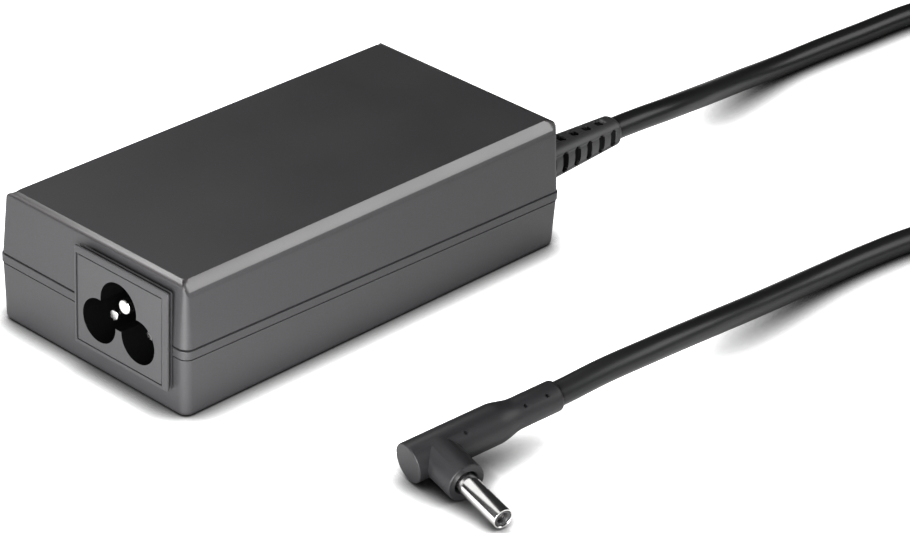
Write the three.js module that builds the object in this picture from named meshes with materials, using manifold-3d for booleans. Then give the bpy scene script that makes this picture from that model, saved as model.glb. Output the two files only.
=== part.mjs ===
// Laptop power adapter: a two-shell plastic brick with a three-pin cloverleaf mains inlet,
// its circuit board and parts, and a low-voltage lead that ends in a right-angled barrel plug.
// Millimetres, +Z up. The lead leaves the +X end, the mains inlet is in the -X end.
// The origin is the middle of the brick's footprint, inlet flange included.

import * as THREE from 'three';
import { mergeVertices } from 'three/addons/utils/BufferGeometryUtils.js';
import Module from 'manifold-3d';

const wasm = await Module();
wasm.setup();

// ---------------------------------------------------------------- driving dimensions

const GAP = 0.3; // clearance between neighbouring pieces

const BODY = {
  length: 100,
  width: 51.6,
  height: 27.2,
  cornerRadius: 1.9, // upright corners
  wall: 2,
  draftTop: 0.8, // how far the upper walls lean in by the top face
  draftBottom: 0.3,
  sideRound: 1.95, // long top edges: width and height of the rounding
  sideRoundHeight: 2.93,
  endRound: 1.45, // short top edges
  endRoundHeight: 0.82,
  bottomRound: 1.1,
};

const PARTING = { height: 13.1, slope: -0.022, gap: GAP }; // the joint tilts down to the cord end
const LIP = { height: 1.3, outer: 1.15 }; // tongue of the bottom shell inside the top shell
const BAND = { height: 1.8, proud: 0.15 }; // raised band just under the joint

const INLET = {
  proud: 1.6, // flange face beyond the shell wall
  flangeThickness: 0.95,
  left: 2.8, // collar outline on the end face
  right: -23,
  bottom: 5,
  top: 25.9,
  border: 0.3, // flange edge inside the collar edge
  bodyWidth: 21,
  bodyHeight: 17.6,
  bodyDepth: 15,
  cavityDepth: 12.5,
  centreY: -9.5, // middle of the three lobes
  lobeZ: 12.4, // height of the two lower lobes
  lobeHalfSpacing: 5.25,
  lobeRadius: 4.45,
  earthRise: 5,
  earthLobeRadius: 4.85,
};

const PIN = {
  radius: 1.18,
  earthRadius: 1.5,
  halfSpacing: 5,
  recess: 3.3, // tip of the line and neutral pins behind the flange face
  earthRecess: 1.4,
  earthRise: 4.5,
  tail: 3,
};

const CORD = { diameter: 4.8, sides: 10 };

const RELIEF = {
  y: -16.7,
  z: 13.3,
  length: 25.5,
  baseHalf: 4.2, // half width at the shell
  tipHalf: 3.05,
  slotPitch: 3.8,
  slotWidth: 1.3,
  slots: 6,
  flangeHalf: 6.6,
  flangeThickness: 2,
  setback: 3.1, // inner flange behind the shell's end face, clear of its leaning wall
};

const PLUG = {
  root: [-29.4, -68.9, 5.02], // where the barrel's axis crosses the grip's axis
  along: [0.968, -0.209, 0.139], // grip axis, towards the cord
  capLength: 5.6,
  gripRadius: 3.85,
  gripEnd: 12.4,
  sleeveStart: 17.6,
  sleeveEnd: 26.4,
  sleeveRadius: 3,
  legLength: 10.1,
  barrelRadius: 2,
  barrelBore: 1.7,
  barrelTip: 21.3, // from the grip's axis
  barrelSocket: 3, // how deep the barrel sits in the leg
  rollDown: 6.9, // degrees that the barrel points down
};

const COIL = { x: 187, y: -62, meanRadius: 24.5, across: 4, layers: 2, base: 1.2 };
const TIE = { width: 7, thickness: 0.9, slack: 0.8 };

const BOARD = { x0: -33.5, x1: 45.2, halfWidth: 22.6, bottom: 5, thickness: 1.6 };

const bodyMidX = INLET.proud / 2;
const inletEnd = bodyMidX - BODY.length / 2;
const cordEnd = bodyMidX + BODY.length / 2;
const flangeFace = inletEnd - INLET.proud;
const boardTop = BOARD.bottom + BOARD.thickness + GAP; // parts stand just clear of the board
const innerTop = BODY.height - BODY.wall;

// ---------------------------------------------------------------- finishes

const finish = (color, roughness, metalness = 0) =>
  new THREE.MeshStandardMaterial({ color, roughness, metalness });

const FINISH = {
  shell: finish(0x4a4a4d, 0.5),
  inlet: finish(0x46464a, 0.55),
  nickel: finish(0xd8d8d6, 0.2, 1),
  steel: finish(0x9a9ca0, 0.4, 1),
  aluminium: finish(0xb4b6b8, 0.4, 1),
  copper: finish(0xb0683a, 0.35, 1),
  ferrite: finish(0x2b2b2d, 0.8),
  board: finish(0x2f5a38, 0.5),
  blackPlastic: finish(0x1c1c1e, 0.5),
  yellowTape: finish(0xd8b23a, 0.5),
  yellowBox: finish(0xd9a928, 0.4),
  blueDisc: finish(0x2f5fa8, 0.4),
  greenDisc: finish(0x3b6b45, 0.4),
  sleeve: finish(0x24304a, 0.35),
  paper: finish(0xd9d3c4, 0.8),
  label: finish(0x2a2a2c, 0.45),
  cord: finish(0x161618, 0.45),
  relief: finish(0x2b2b2d, 0.6),
  wireBrown: finish(0x5b3420, 0.5),
  wireBlue: finish(0x2450a0, 0.5),
  wireGreen: finish(0x3d8a3a, 0.5),
  wireRed: finish(0xa02420, 0.5),
};

// ---------------------------------------------------------------- solids and booleans

const model = new THREE.Group();

function add(name, geometry, material, parent = model) {
  const mesh = new THREE.Mesh(geometry, material);
  mesh.name = name;
  parent.add(mesh);
  return mesh;
}

function toSolid(geometry) {
  const bare = geometry.clone();
  bare.deleteAttribute('normal');
  bare.deleteAttribute('uv');
  const merged = mergeVertices(bare, 1e-4);
  return new wasm.Manifold(
    new wasm.Mesh({
      numProp: 3,
      vertProperties: new Float32Array(merged.attributes.position.array),
      triVerts: new Uint32Array(merged.index.array),
    }),
  );
}

function toGeometry(solid) {
  const mesh = solid.getMesh();
  const geometry = new THREE.BufferGeometry();
  geometry.setAttribute('position', new THREE.BufferAttribute(mesh.vertProperties, 3));
  geometry.setIndex(new THREE.BufferAttribute(mesh.triVerts, 1));
  geometry.computeVertexNormals();
  return geometry;
}

function box(x0, x1, y0, y1, z0, z1) {
  const geometry = new THREE.BoxGeometry(x1 - x0, y1 - y0, z1 - z0);
  return geometry.translate((x0 + x1) / 2, (y0 + y1) / 2, (z0 + z1) / 2);
}

const block = (x, y, z, length, width, height) =>
  box(x - length / 2, x + length / 2, y - width / 2, y + width / 2, z, z + height);

function cylinder(radius, length, axis, x, y, z, sides = 20) {
  const geometry = new THREE.CylinderGeometry(radius, radius, length, sides);
  if (axis === 'x') geometry.rotateZ(-Math.PI / 2);
  if (axis === 'z') geometry.rotateX(Math.PI / 2);
  return geometry.translate(x, y, z);
}

// A round piece turned about X, from [radius, distance along X] pairs that run from axis to axis
// or close on themselves.
function turnedX(profile, sides = 24) {
  const points = profile.map(([radius, along]) => new THREE.Vector2(radius, along));
  return new THREE.LatheGeometry(points, sides).rotateZ(-Math.PI / 2);
}

// Points of a rounded rectangle, anticlockwise seen from +Z.
function roundedRing(halfX, halfY, radius, z, steps = 4) {
  const corner = Math.max(Math.min(radius, halfX, halfY), 0.05);
  const ring = [];
  for (let quarter = 0; quarter < 4; quarter += 1) {
    const cx = (halfX - corner) * (quarter === 0 || quarter === 3 ? 1 : -1);
    const cy = (halfY - corner) * (quarter < 2 ? 1 : -1);
    for (let step = 0; step <= steps; step += 1) {
      const angle = ((quarter + step / steps) * Math.PI) / 2;
      ring.push(new THREE.Vector3(cx + corner * Math.cos(angle), cy + corner * Math.sin(angle), z));
    }
  }
  return ring;
}

// A closed solid through convex rings of equal length, stacked along +Z.
function loft(rings) {
  const count = rings[0].length;
  const index = [];
  for (let row = 0; row + 1 < rings.length; row += 1) {
    for (let i = 0; i < count; i += 1) {
      const a = row * count + i;
      const b = row * count + ((i + 1) % count);
      index.push(a, b, b + count, a, b + count, a + count);
    }
  }
  const last = (rings.length - 1) * count;
  for (let i = 1; i + 1 < count; i += 1) {
    index.push(0, i + 1, i);
    index.push(last, last + i, last + i + 1);
  }
  const geometry = new THREE.BufferGeometry().setFromPoints(rings.flat());
  geometry.setIndex(index);
  geometry.computeVertexNormals();
  return geometry;
}

// A plate of constant outline, raised along Z, with an optional hole.
function plate(outline, depth, hole) {
  const shape = new THREE.Shape(outline);
  if (hole) shape.holes.push(new THREE.Path(hole));
  return new THREE.ExtrudeGeometry(shape, { depth, bevelEnabled: false });
}

const ring2 = (halfX, halfY, radius, steps = 3) =>
  roundedRing(halfX, halfY, radius, 0, steps).map((p) => new THREE.Vector2(p.x, p.y));

function tube(points, radius, sides, steps) {
  const knots = points.map((p) => new THREE.Vector3(...p));
  const curve = new THREE.CatmullRomCurve3(knots, false, 'centripetal');
  const section = new THREE.Shape();
  for (let i = 0; i < sides; i += 1) {
    const angle = (2 * Math.PI * i) / sides;
    const x = radius * Math.cos(angle);
    const y = radius * Math.sin(angle);
    if (i === 0) section.moveTo(x, y);
    else section.lineTo(x, y);
  }
  section.closePath();
  return new THREE.ExtrudeGeometry(section, { steps, bevelEnabled: false, extrudePath: curve });
}

// ---------------------------------------------------------------- shells

// How far the wall stands inside the joint's outline at height z, on the long sides and the ends.
function wallInset(z) {
  const { draftTop, draftBottom, height } = BODY;
  const quarterArc = (depth, size) => size * (1 - Math.sqrt(1 - depth * depth));
  const clamp = (value) => Math.min(Math.max(value, 0), 1);
  if (z <= PARTING.height) {
    const draft = (draftBottom * (PARTING.height - z)) / PARTING.height;
    const round = quarterArc(clamp(1 - z / BODY.bottomRound), BODY.bottomRound);
    return { side: draft + round, end: draft + round };
  }
  const draft = (draftTop * (z - PARTING.height)) / (height - PARTING.height);
  const sideDepth = clamp((z - height + BODY.sideRoundHeight) / BODY.sideRoundHeight);
  const endDepth = clamp((z - height + BODY.endRoundHeight) / BODY.endRoundHeight);
  return {
    side: draft + quarterArc(sideDepth, BODY.sideRound),
    end: draft + quarterArc(endDepth, BODY.endRound),
  };
}

function wallRing(z, inward) {
  const inset = wallInset(z);
  const ring = roundedRing(
    BODY.length / 2 - inset.end - inward,
    BODY.width / 2 - inset.side - inward,
    Math.max(BODY.cornerRadius - inward, 0.8),
    z,
    5,
  );
  return ring.map((p) => p.setX(p.x + bodyMidX));
}

// The brick's outside, moved inwards by a distance, between two heights.
function brick(inward, bottom, top) {
  const { height, bottomRound, sideRoundHeight, endRoundHeight } = BODY;
  const arcStep = (i, count, size) => size * (1 - Math.cos((i * Math.PI) / 2 / count));
  const arc = (count, size) => Array.from({ length: count }, (_, i) => arcStep(i, count, size));
  const heights = [
    ...arc(4, bottomRound),
    bottomRound,
    PARTING.height,
    height - sideRoundHeight,
    ...[0.45, 0.7].map((part) => height - sideRoundHeight * (1 - part)),
    height - endRoundHeight * 0.5,
    height - endRoundHeight * 0.2,
    height - endRoundHeight * 0.05,
    height,
  ];
  const inside = heights.filter((z) => z > bottom + 0.01 && z < top - 0.01);
  return toSolid(loft([bottom, ...inside, top].map((z) => wallRing(z, inward))));
}

// Everything above or below a plane parallel to the joint, a distance above it.
function jointSide(above, offset) {
  const size = 200;
  const slab = new THREE.BoxGeometry(size, size, size);
  slab.translate(0, 0, above ? size / 2 : -size / 2);
  slab.rotateY(-Math.atan(PARTING.slope));
  return toSolid(slab.translate(bodyMidX, 0, PARTING.height + offset));
}

function endFrame(shrink, x0, x1) {
  const { left, right, bottom, top } = INLET;
  return box(x0, x1, right + shrink, left - shrink, bottom + shrink, top - shrink);
}

function reliefHole() {
  const half = RELIEF.baseHalf + GAP;
  const reach = 12;
  return block(cordEnd, RELIEF.y, RELIEF.z - half, 2 * reach, 2 * half, 2 * half);
}

function inletHole() {
  const { bodyWidth, bodyHeight, centreY, bottom, top } = INLET;
  const z = (bottom + top) / 2;
  const halfY = bodyWidth / 2 + GAP;
  const halfZ = bodyHeight / 2 + GAP;
  return box(inletEnd - 5, inletEnd + 5, centreY - halfY, centreY + halfY, z - halfZ, z + halfZ);
}

function shells() {
  const { wall, height } = BODY;
  const collarFace = flangeFace + INLET.flangeThickness + 0.15;
  const outside = brick(0, 0, height).add(toSolid(endFrame(0, collarFace, inletEnd + wall)));
  const cavity = brick(wall, wall, innerTop);
  const openings = toSolid(reliefHole()).add(toSolid(inletHole()));
  const hollow = outside.subtract(cavity).subtract(openings);

  const tongue = brick(LIP.outer, 1, height - 1).intersect(jointSide(false, LIP.height));
  const rebate = brick(LIP.outer - GAP, 1, height - 1).intersect(jointSide(false, LIP.height + GAP));
  const top = hollow.intersect(jointSide(true, PARTING.gap / 2)).subtract(rebate);
  add('top_shell', toGeometry(top), FINISH.shell);

  const lower = hollow.intersect(jointSide(false, -PARTING.gap / 2));
  const lip = tongue.intersect(jointSide(true, -PARTING.gap)).subtract(cavity).subtract(openings);
  const bandSolid = brick(-BAND.proud, 1, height - 1)
    .intersect(jointSide(false, -PARTING.gap / 2))
    .intersect(jointSide(true, -BAND.height))
    .subtract(brick(0.5, 0.5, height - 0.5))
    .subtract(toSolid(endFrame(-0.5, inletEnd - 5, inletEnd + 1)))
    .subtract(openings);
  const labelPocket = toSolid(block(bodyMidX, 0, -1, 62.6, 34.6, 1.6));
  const bottom = lower.add(lip).add(bandSolid).subtract(labelPocket);
  add('bottom_shell', toGeometry(bottom), FINISH.shell);
  add('rating_label', block(bodyMidX, 0, 0.35, 62, 34, 0.2), FINISH.label);
}

// ---------------------------------------------------------------- mains inlet

function lobes(depth, grow = 0) {
  const { centreY, lobeZ, lobeHalfSpacing, lobeRadius, earthRise, earthLobeRadius } = INLET;
  const length = depth + 2;
  const x = flangeFace - 2 + length / 2;
  const lobe = (y, z, radius) => toSolid(cylinder(radius + grow, length, 'x', x, y, z, 28));
  return lobe(centreY - lobeHalfSpacing, lobeZ, lobeRadius)
    .add(lobe(centreY + lobeHalfSpacing, lobeZ, lobeRadius))
    .add(lobe(centreY, lobeZ + earthRise, earthLobeRadius));
}

const PINS = [
  {
    name: 'pin_line',
    y: INLET.centreY + PIN.halfSpacing,
    z: INLET.lobeZ,
    radius: PIN.radius,
    recess: PIN.recess,
  },
  {
    name: 'pin_neutral',
    y: INLET.centreY - PIN.halfSpacing,
    z: INLET.lobeZ,
    radius: PIN.radius,
    recess: PIN.recess,
  },
  {
    name: 'pin_earth',
    y: INLET.centreY,
    z: INLET.lobeZ + PIN.earthRise,
    radius: PIN.earthRadius,
    recess: PIN.earthRecess,
  },
];
const pinBack = inletEnd + INLET.bodyDepth + PIN.tail;

function mainsInlet() {
  const { bodyWidth, bodyHeight, bodyDepth, centreY, bottom, top, flangeThickness, border } = INLET;
  const z = (bottom + top) / 2;
  const flange = toSolid(endFrame(border, flangeFace, flangeFace + flangeThickness));
  const back = inletEnd + bodyDepth;
  const body = toSolid(
    block((flangeFace + back) / 2, centreY, z - bodyHeight / 2, back - flangeFace, bodyWidth, bodyHeight),
  );
  let housing = flange.add(body).subtract(lobes(INLET.cavityDepth));
  for (const pin of PINS) {
    const hole = toSolid(cylinder(pin.radius + 0.15, 10, 'x', back, pin.y, pin.z, 16));
    housing = housing.subtract(hole);
    const tip = flangeFace + pin.recess;
    const chamfer = pin.radius * 0.45;
    const profile = [
      [0, tip],
      [pin.radius - chamfer, tip],
      [pin.radius, tip + chamfer],
      [pin.radius, pinBack],
      [0, pinBack],
    ];
    add(pin.name, turnedX(profile, 14).translate(0, pin.y, pin.z), FINISH.nickel);
  }
  add('inlet_housing', toGeometry(housing), FINISH.inlet);
}

// ---------------------------------------------------------------- board and shields

function boardAndShields() {
  const { x0, x1, halfWidth, bottom, thickness } = BOARD;
  add('circuit_board', box(x0, x1, -halfWidth, halfWidth, bottom, bottom + thickness), FINISH.board);
  add('insulation_sheet', box(x0, x1, -halfWidth, halfWidth, 3.6, 4), FINISH.paper);
  add('bottom_heat_spreader', box(x0, x1, -halfWidth, halfWidth, 2.4, 3), FINISH.aluminium);
  add('top_heat_spreader', box(x0 + 1, x1 - 1, -21, 21, innerTop - 0.9, innerTop - 0.4), FINISH.aluminium);
}

// ---------------------------------------------------------------- parts on the board

const upright = (name, radius, height, x, y, material) =>
  add(name, cylinder(radius, height, 'z', x, y, boardTop + height / 2), material);

function mainsSideParts() {
  add('fuse', block(-29, 18, boardTop, 8.4, 4.3, 7.8), FINISH.blackPlastic);
  add('inrush_thermistor', cylinder(4.6, 4, 'x', -29.5, 11, boardTop + 4.6), FINISH.greenDisc);
  add('varistor', cylinder(4.6, 3.6, 'x', -22, 17.5, boardTop + 4.6), FINISH.blueDisc);
  add('x_capacitor', block(-18.5, -17.8, boardTop, 17.5, 8.2, 13.5), FINISH.yellowBox);
  add('bridge_rectifier', block(-11.5, 17.6, boardTop, 15, 3.8, 11), FINISH.blackPlastic);
  add('bulk_capacitor', cylinder(8, 29, 'x', 7.5, -14.5, boardTop + 8, 28), FINISH.sleeve);
}

function commonModeChoke() {
  const centre = { x: -17.5, y: -2.2, z: boardTop + 5.8 };
  const legY = 5.7;
  const core = plate(ring2(10, 8.1, 1), 4.6, ring2(6.2, 3.3, 0.4).reverse());
  add('choke_core', core.translate(centre.x, centre.y, centre.z - 2.3), FINISH.ferrite);
  const winding = [
    [3.75, -4.6],
    [5.4, -4.6],
    [5.4, 4.6],
    [3.75, 4.6],
    [3.75, -4.6],
  ];
  for (const side of [-1, 1]) {
    const coil = turnedX(winding, 20).translate(centre.x, centre.y + side * legY, centre.z);
    add(side < 0 ? 'choke_winding_line' : 'choke_winding_neutral', coil, FINISH.copper);
  }
}

// A flat-pack transistor: moulded body with its metal tab above, facing Y.
function powerPackage(name, x, y, tabSide) {
  const body = toSolid(block(x, y, boardTop + 2, 10, 3, 9));
  const tab = toSolid(block(x, y + tabSide * 1.6, boardTop + 2, 10, 1.2, 14.5));
  add(name, toGeometry(body.add(tab)), FINISH.blackPlastic);
}

function heatsinks() {
  add('primary_heatsink', box(-3, 24, 20.3, 22, boardTop, boardTop + 16), FINISH.aluminium);
  powerPackage('primary_transistor', 6, 17.9, 1);
  add('secondary_heatsink', box(27, 44, 20.3, 22, boardTop, boardTop + 16), FINISH.aluminium);
  powerPackage('output_rectifier', 35, 17.9, 1);
}

// Two E-shaped ferrite halves around a rectangular bobbin with its winding.
function transformer() {
  const [x, y] = [12.5, 4.8];
  const [halfWidth, legWidth, centreHalf, backThickness, halfHeight, depth] = [12, 3.6, 3.5, 3, 8, 13];
  const innerX = halfWidth - legWidth;
  const eOutline = [
    [-halfWidth, 0],
    [halfWidth, 0],
    [halfWidth, halfHeight],
    [innerX, halfHeight],
    [innerX, backThickness],
    [centreHalf, backThickness],
    [centreHalf, halfHeight],
    [-centreHalf, halfHeight],
    [-centreHalf, backThickness],
    [-innerX, backThickness],
    [-innerX, halfHeight],
    [-halfWidth, halfHeight],
  ].map(([px, pz]) => new THREE.Vector2(px, pz));
  const half = () => plate(eOutline, depth).rotateX(Math.PI / 2).translate(0, depth / 2, 0);
  const midZ = boardTop + halfHeight + 0.1;
  add('transformer_core_lower', half().translate(x, y, midZ - halfHeight - 0.1), FINISH.ferrite);
  const upper = half().rotateX(Math.PI).translate(x, y, midZ + halfHeight + 0.1);
  add('transformer_core_upper', upper, FINISH.ferrite);

  const windowHeight = 2 * (halfHeight - backThickness);
  const coreHalfY = depth / 2;
  const hole = ring2(centreHalf + GAP, coreHalfY + GAP, 0.3).reverse();
  const spoolHeight = windowHeight - 2 * GAP;
  const hub = plate(ring2(centreHalf + 1.1, coreHalfY + 1.1, 0.8), spoolHeight, hole);
  const flange = (z) => plate(ring2(innerX - GAP, coreHalfY + 4.9, 1), 0.8, hole).translate(0, 0, z);
  const bobbin = toSolid(hub).add(toSolid(flange(0))).add(toSolid(flange(spoolHeight - 0.8)));
  add(
    'transformer_bobbin',
    toGeometry(bobbin).translate(x, y, midZ - spoolHeight / 2),
    FINISH.blackPlastic,
  );
  const windingHeight = spoolHeight - 1.6 - 2 * GAP;
  const winding = plate(
    ring2(innerX - 0.6, coreHalfY + 4.5, 2.4, 5),
    windingHeight,
    ring2(centreHalf + 1.4, coreHalfY + 1.4, 0.9, 5).reverse(),
  );
  add('transformer_winding', winding.translate(x, y, midZ - windingHeight / 2), FINISH.yellowTape);
}

function outputSideParts() {
  add('y_capacitor', cylinder(3.8, 3.2, 'x', 29, 10.5, boardTop + 3.8), FINISH.blueDisc);
  add('optocoupler', block(30.5, 3.2, boardTop, 4.6, 6.5, 3.6), FINISH.blackPlastic);
  add('control_ic', block(-6, 7, boardTop, 5, 4, 1.6), FINISH.blackPlastic);
  upright('output_capacitor_1', 4, 15, 38.5, 8.5, FINISH.sleeve);
  upright('output_capacitor_2', 4, 15, 38.5, -1, FINISH.sleeve);
  const drum = [
    [0, 0],
    [4.5, 0],
    [4.5, 1],
    [2.2, 1],
    [2.2, 8],
    [4.5, 8],
    [4.5, 9],
    [0, 9],
  ].map(([r, z]) => new THREE.Vector2(r, z));
  const core = new THREE.LatheGeometry(drum, 20).rotateX(Math.PI / 2);
  add('output_choke_core', core.translate(29, -16.5, boardTop), FINISH.ferrite);
  const winding = [
    [2.5, 1.3],
    [4.2, 1.3],
    [4.2, 7.7],
    [2.5, 7.7],
    [2.5, 1.3],
  ].map(([r, z]) => new THREE.Vector2(r, z));
  const coil = new THREE.LatheGeometry(winding, 20).rotateX(Math.PI / 2);
  add('output_choke_winding', coil.translate(29, -16.5, boardTop), FINISH.copper);
}

function wires() {
  const radius = 0.8;
  const mains = [
    ['wire_line', PINS[0], FINISH.wireBrown],
    ['wire_neutral', PINS[1], FINISH.wireBlue],
    ['wire_earth', PINS[2], FINISH.wireGreen],
  ];
  const solderX = pinBack + 2.2;
  for (const [name, pin, material] of mains) {
    const route = [
      [pinBack + GAP, pin.y, pin.z],
      [pinBack + 1.2, pin.y, pin.z - 0.1],
      [solderX, pin.y, pin.z - 1.8],
      [solderX, pin.y, boardTop],
    ];
    add(name, tube(route, radius, 8, 8), material);
  }
  const inner = cordEnd - RELIEF.setback - RELIEF.flangeThickness - GAP;
  const direct = [
    ['dc_wire_positive', 1.2, FINISH.wireRed, -12.5],
    ['dc_wire_negative', -1.2, FINISH.blackPlastic, -20.4],
  ];
  for (const [name, offset, material, endY] of direct) {
    const route = [
      [inner, RELIEF.y + offset, RELIEF.z],
      [inner - 3, RELIEF.y + offset * 1.4, RELIEF.z - 0.6],
      [inner - 6.4, endY, boardTop + 3],
      [inner - 6.8, endY, boardTop],
    ];
    add(name, tube(route, radius, 8, 8), material);
  }
}

// ---------------------------------------------------------------- strain relief

function strainRelief() {
  const { baseHalf, tipHalf, length, slots, slotPitch, slotWidth } = RELIEF;
  const { flangeHalf, flangeThickness, setback } = RELIEF;
  const halfAt = (x) => baseHalf + ((tipHalf - baseHalf) * x) / length;
  const section = (x, half) => roundedRing(half, half, half * 0.72, x, 4);
  const neck = setback + flangeThickness;
  const rings = [
    section(-neck, flangeHalf),
    section(-neck + flangeThickness, flangeHalf),
    section(-neck + flangeThickness, baseHalf),
    section(0, baseHalf),
    section(length - 1, halfAt(length - 1)),
    section(length - 0.3, halfAt(length) - 0.3),
    section(length, halfAt(length) - 0.8),
  ];
  let relief = toSolid(loft(rings));
  for (let i = 0; i < slots; i += 1) {
    for (const side of [-1, 1]) {
      const flankX = 3.9 + i * slotPitch;
      const crownX = flankX + slotPitch / 2;
      relief = relief.subtract(toSolid(reliefSlot(flankX, halfAt(flankX), side, 'flank', slotWidth)));
      if (i < slots - 1) {
        relief = relief.subtract(toSolid(reliefSlot(crownX, halfAt(crownX), side, 'crown', slotWidth)));
      }
    }
  }
  const geometry = toGeometry(relief).rotateY(Math.PI / 2);
  add('strain_relief', geometry.translate(cordEnd, RELIEF.y, RELIEF.z), FINISH.relief);
}

// A cut across one face of the tapered sleeve, drawn with the sleeve's axis along Z.
function reliefSlot(along, half, side, face, width) {
  const floor = Math.max(half - 1.5, CORD.diameter / 2 + 0.25);
  const reach = half * 0.62;
  const depth = 4;
  const middle = side * (floor + depth / 2);
  if (face === 'crown') return new THREE.BoxGeometry(depth, 2 * reach, width).translate(middle, 0, along);
  return new THREE.BoxGeometry(2 * reach, depth, width).translate(0, middle, along);
}

// ---------------------------------------------------------------- low-voltage lead

// From the strain relief: straight out, down to the surface, along it and round into the coil.
const LEAD_ROUTE = [
  [76.6, -16.7, 13.3],
  [84.2, -16.9, 13.1],
  [92.9, -16.5, 12.2],
  [103.5, -14.7, 10.3],
  [115.4, -11.8, 7.6],
  [127.2, -9.1, 5.1],
  [138.1, -7.5, 3.3],
  [147.4, -7, 2.5],
  [157.3, -7.4, 2.45],
  [170.5, -8.3, 2.45],
  [187.4, -9.5, 2.45],
  [200.8, -12.4, 2.45],
  [211.6, -20.2, 2.5],
  [216.9, -31.6, 2.8],
  [218.7, -43.4, 3.3],
];

// From the coil back along the surface, then up a little into the plug's sleeve.
const RETURN_ROUTE = [
  [168.3, -93.7, 8.2],
  [156.5, -93.0, 6.6],
  [144, -91, 4.4],
  [131, -86.2, 2.9],
  [117.5, -80.3, 2.45],
  [102.4, -75.4, 2.45],
  [88, -73.5, 2.45],
  [75, -73.1, 2.95],
  [54.2, -74.6, 5.5],
  [34, -76.6, 8.7],
  [18.9, -77, 10.1],
  [6.4, -75.95, 9.95],
  [-2.9, -74.62, 8.83],
];

function lead() {
  const radius = CORD.diameter / 2;
  add('cord_lead', tube(LEAD_ROUTE, radius, CORD.sides, 36), FINISH.cord);
  add('cord_return', tube(RETURN_ROUTE, radius, CORD.sides, 36), FINISH.cord);

  const { x, y, meanRadius, across, layers, base } = COIL;
  const half = (across * CORD.diameter) / 2;
  const height = layers * CORD.diameter;
  const soft = radius * 0.7;
  const section = [
    [meanRadius - half, soft],
    [meanRadius - half + soft, 0],
    [meanRadius + half - soft, 0],
    [meanRadius + half, soft],
    [meanRadius + half, height - soft],
    [meanRadius + half - soft, height],
    [meanRadius - half + soft, height],
    [meanRadius - half, height - soft],
    [meanRadius - half, soft],
  ].map(([r, z]) => new THREE.Vector2(r, z));
  const coil = new THREE.LatheGeometry(section, 40).rotateX(Math.PI / 2);
  add('cord_coil', coil.translate(x, y, base), FINISH.cord);

  const inside = ring2(half + TIE.slack, height / 2 + GAP, 1.8).reverse();
  const outside = ring2(half + TIE.slack + TIE.thickness, height / 2 + GAP + TIE.thickness, 2.6);
  const tie = plate(outside, TIE.width, inside).translate(0, 0, -TIE.width / 2);
  tie.rotateX(Math.PI / 2).rotateZ(Math.PI / 4);
  const out = meanRadius * Math.SQRT1_2;
  add('cord_tie', tie.translate(x + out, y + out, base + height / 2), FINISH.blackPlastic);
}

// ---------------------------------------------------------------- plug

// The plug is drawn with its grip along +X and its barrel along -Y, then set down on the surface.
function plug() {
  const p = PLUG;
  const along = new THREE.Vector3(...p.along).normalize();
  const level = new THREE.Vector3().crossVectors(along, new THREE.Vector3(0, 0, 1)).normalize();
  const lift = new THREE.Vector3().crossVectors(level, along);
  const roll = THREE.MathUtils.degToRad(p.rollDown);
  const barrelWay = level.clone().multiplyScalar(Math.cos(roll)).addScaledVector(lift, -Math.sin(roll));
  const back = barrelWay.clone().negate();
  const up = new THREE.Vector3().crossVectors(along, back);
  const group = new THREE.Group();
  group.quaternion.setFromRotationMatrix(new THREE.Matrix4().makeBasis(along, back, up));
  group.position.set(...p.root);
  model.add(group);

  const grip = turnedX(
    [
      [0, -p.capLength],
      [p.gripRadius - 0.8, -p.capLength],
      [p.gripRadius, -p.capLength + 0.8],
      [p.gripRadius, p.gripEnd],
      [(p.gripRadius + p.sleeveRadius) / 2, (p.gripEnd + p.sleeveStart) / 2],
      [p.sleeveRadius, p.sleeveStart],
      [p.sleeveRadius, p.sleeveEnd - 0.5],
      [p.sleeveRadius - 0.5, p.sleeveEnd],
      [0, p.sleeveEnd],
    ],
    20,
  );
  const leg = cylinder(p.gripRadius, p.legLength, 'y', 0, -p.legLength / 2, 0, 20);
  const socketLength = p.barrelSocket + GAP;
  const socketY = -p.legLength + socketLength / 2 - 0.5;
  const socket = cylinder(p.barrelRadius + 0.15, socketLength + 1, 'y', 0, socketY, 0, 20);
  const mould = toSolid(grip).add(toSolid(leg)).subtract(toSolid(socket));
  add('plug_body', toGeometry(mould), FINISH.cord, group);

  const start = p.legLength - p.barrelSocket;
  const sleeveAlongBarrel = (outer, inner, from, to) =>
    new THREE.LatheGeometry(
      [
        [inner, -to],
        [outer, -to],
        [outer, -from],
        [inner, -from],
        [inner, -to],
      ].map(([r, d]) => new THREE.Vector2(r, d)),
      20,
    );
  const barrel = sleeveAlongBarrel(p.barrelRadius, p.barrelBore, start, p.barrelTip);
  add('plug_barrel', barrel, FINISH.nickel, group);
  const insulator = sleeveAlongBarrel(p.barrelBore - 0.1, 1.05, start, p.barrelTip - 0.15);
  add('plug_insulator', insulator, FINISH.blackPlastic, group);
  add('plug_contact', sleeveAlongBarrel(0.92, 0.7, start, p.barrelTip - 1), FINISH.steel, group);
}

shells();
mainsInlet();
boardAndShields();
mainsSideParts();
commonModeChoke();
heatsinks();
transformer();
outputSideParts();
wires();
strainRelief();
lead();
plug();

export default model;
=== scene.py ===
"""Looks of a laptop power adapter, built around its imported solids.

Metres, +Z up. The lead leaves the +X end, the mains inlet is in the -X end. Sizes in this file are in
millimetres until a finished mesh is written.
"""

import math

import bpy
import numpy as np
from mathutils import Matrix, Vector


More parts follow.
